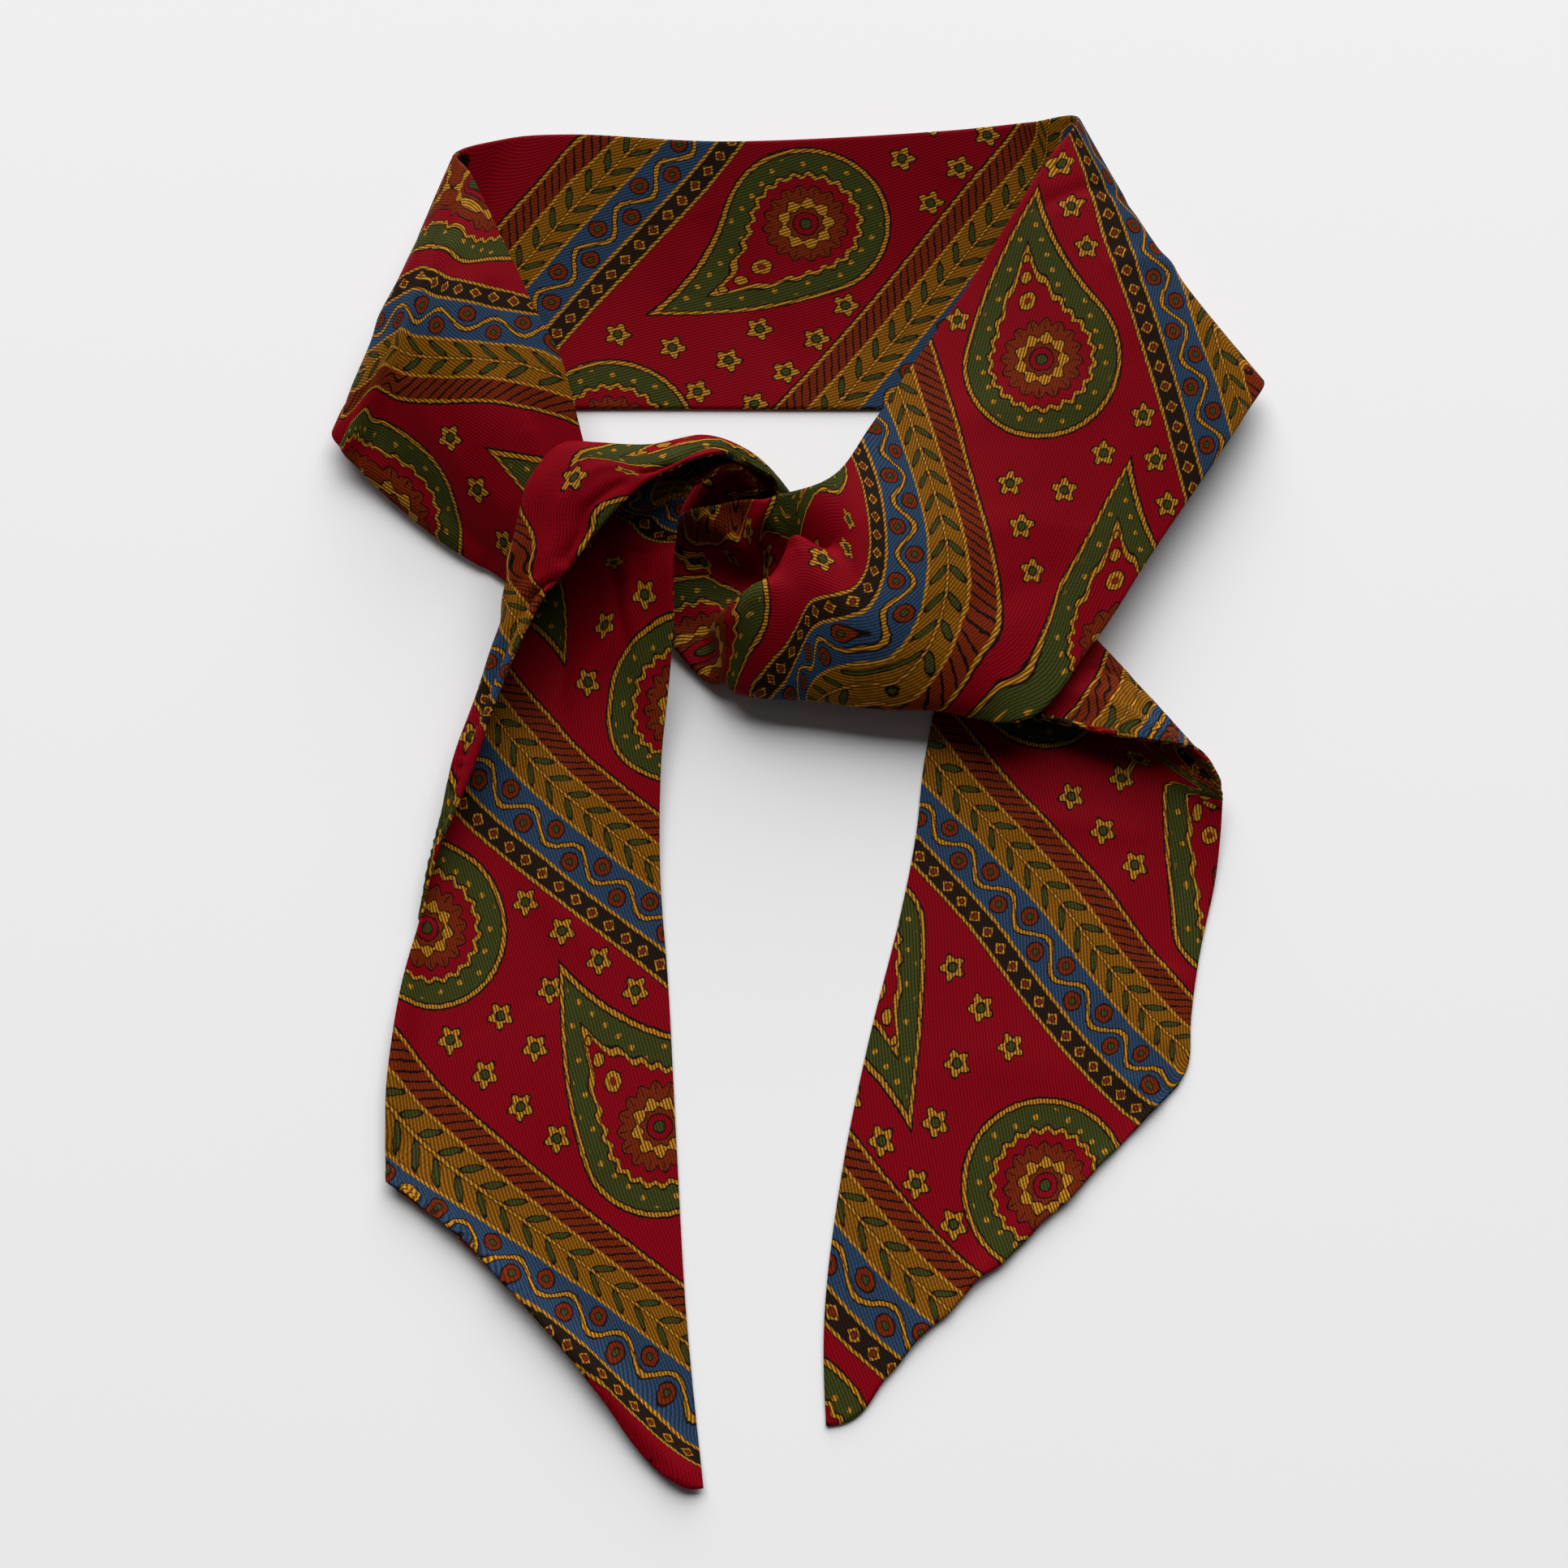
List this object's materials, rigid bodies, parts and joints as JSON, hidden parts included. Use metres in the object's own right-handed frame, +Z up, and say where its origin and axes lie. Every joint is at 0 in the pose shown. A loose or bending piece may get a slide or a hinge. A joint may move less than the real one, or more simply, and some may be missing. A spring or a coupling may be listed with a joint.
{
  "type": "skinny silk scarf, tied and laid flat",
  "caption": "Narrow silk scarf band, tied in a half knot round an empty neck loop and laid flat, with slanted tail ends.",
  "frame": {"origin": "on the surface that the scarf lies on, under the middle of its box", "axes": "+Z up from the surface, +Y from the tail ends towards the back of the neck loop, +X towards the right tail's side"},
  "size_m": [0.1977, 0.2853, 0.0295],
  "materials": {
    "silk_twill": "printed silk twill, soft sheen, crimson ground with olive, gold, blue and rust motifs"
  },
  "bodies": {
    "root": {"left_tail": "silk_twill", "knot_wrap": "silk_twill", "left_side": "silk_twill", "left_fold": "silk_twill", "back_band": "silk_twill", "right_fold": "silk_twill", "right_side": "silk_twill", "knot_gather": "silk_twill", "right_turn": "silk_twill", "right_tail": "silk_twill", "knot_core": "silk_twill"}
  },
  "joints": []
}
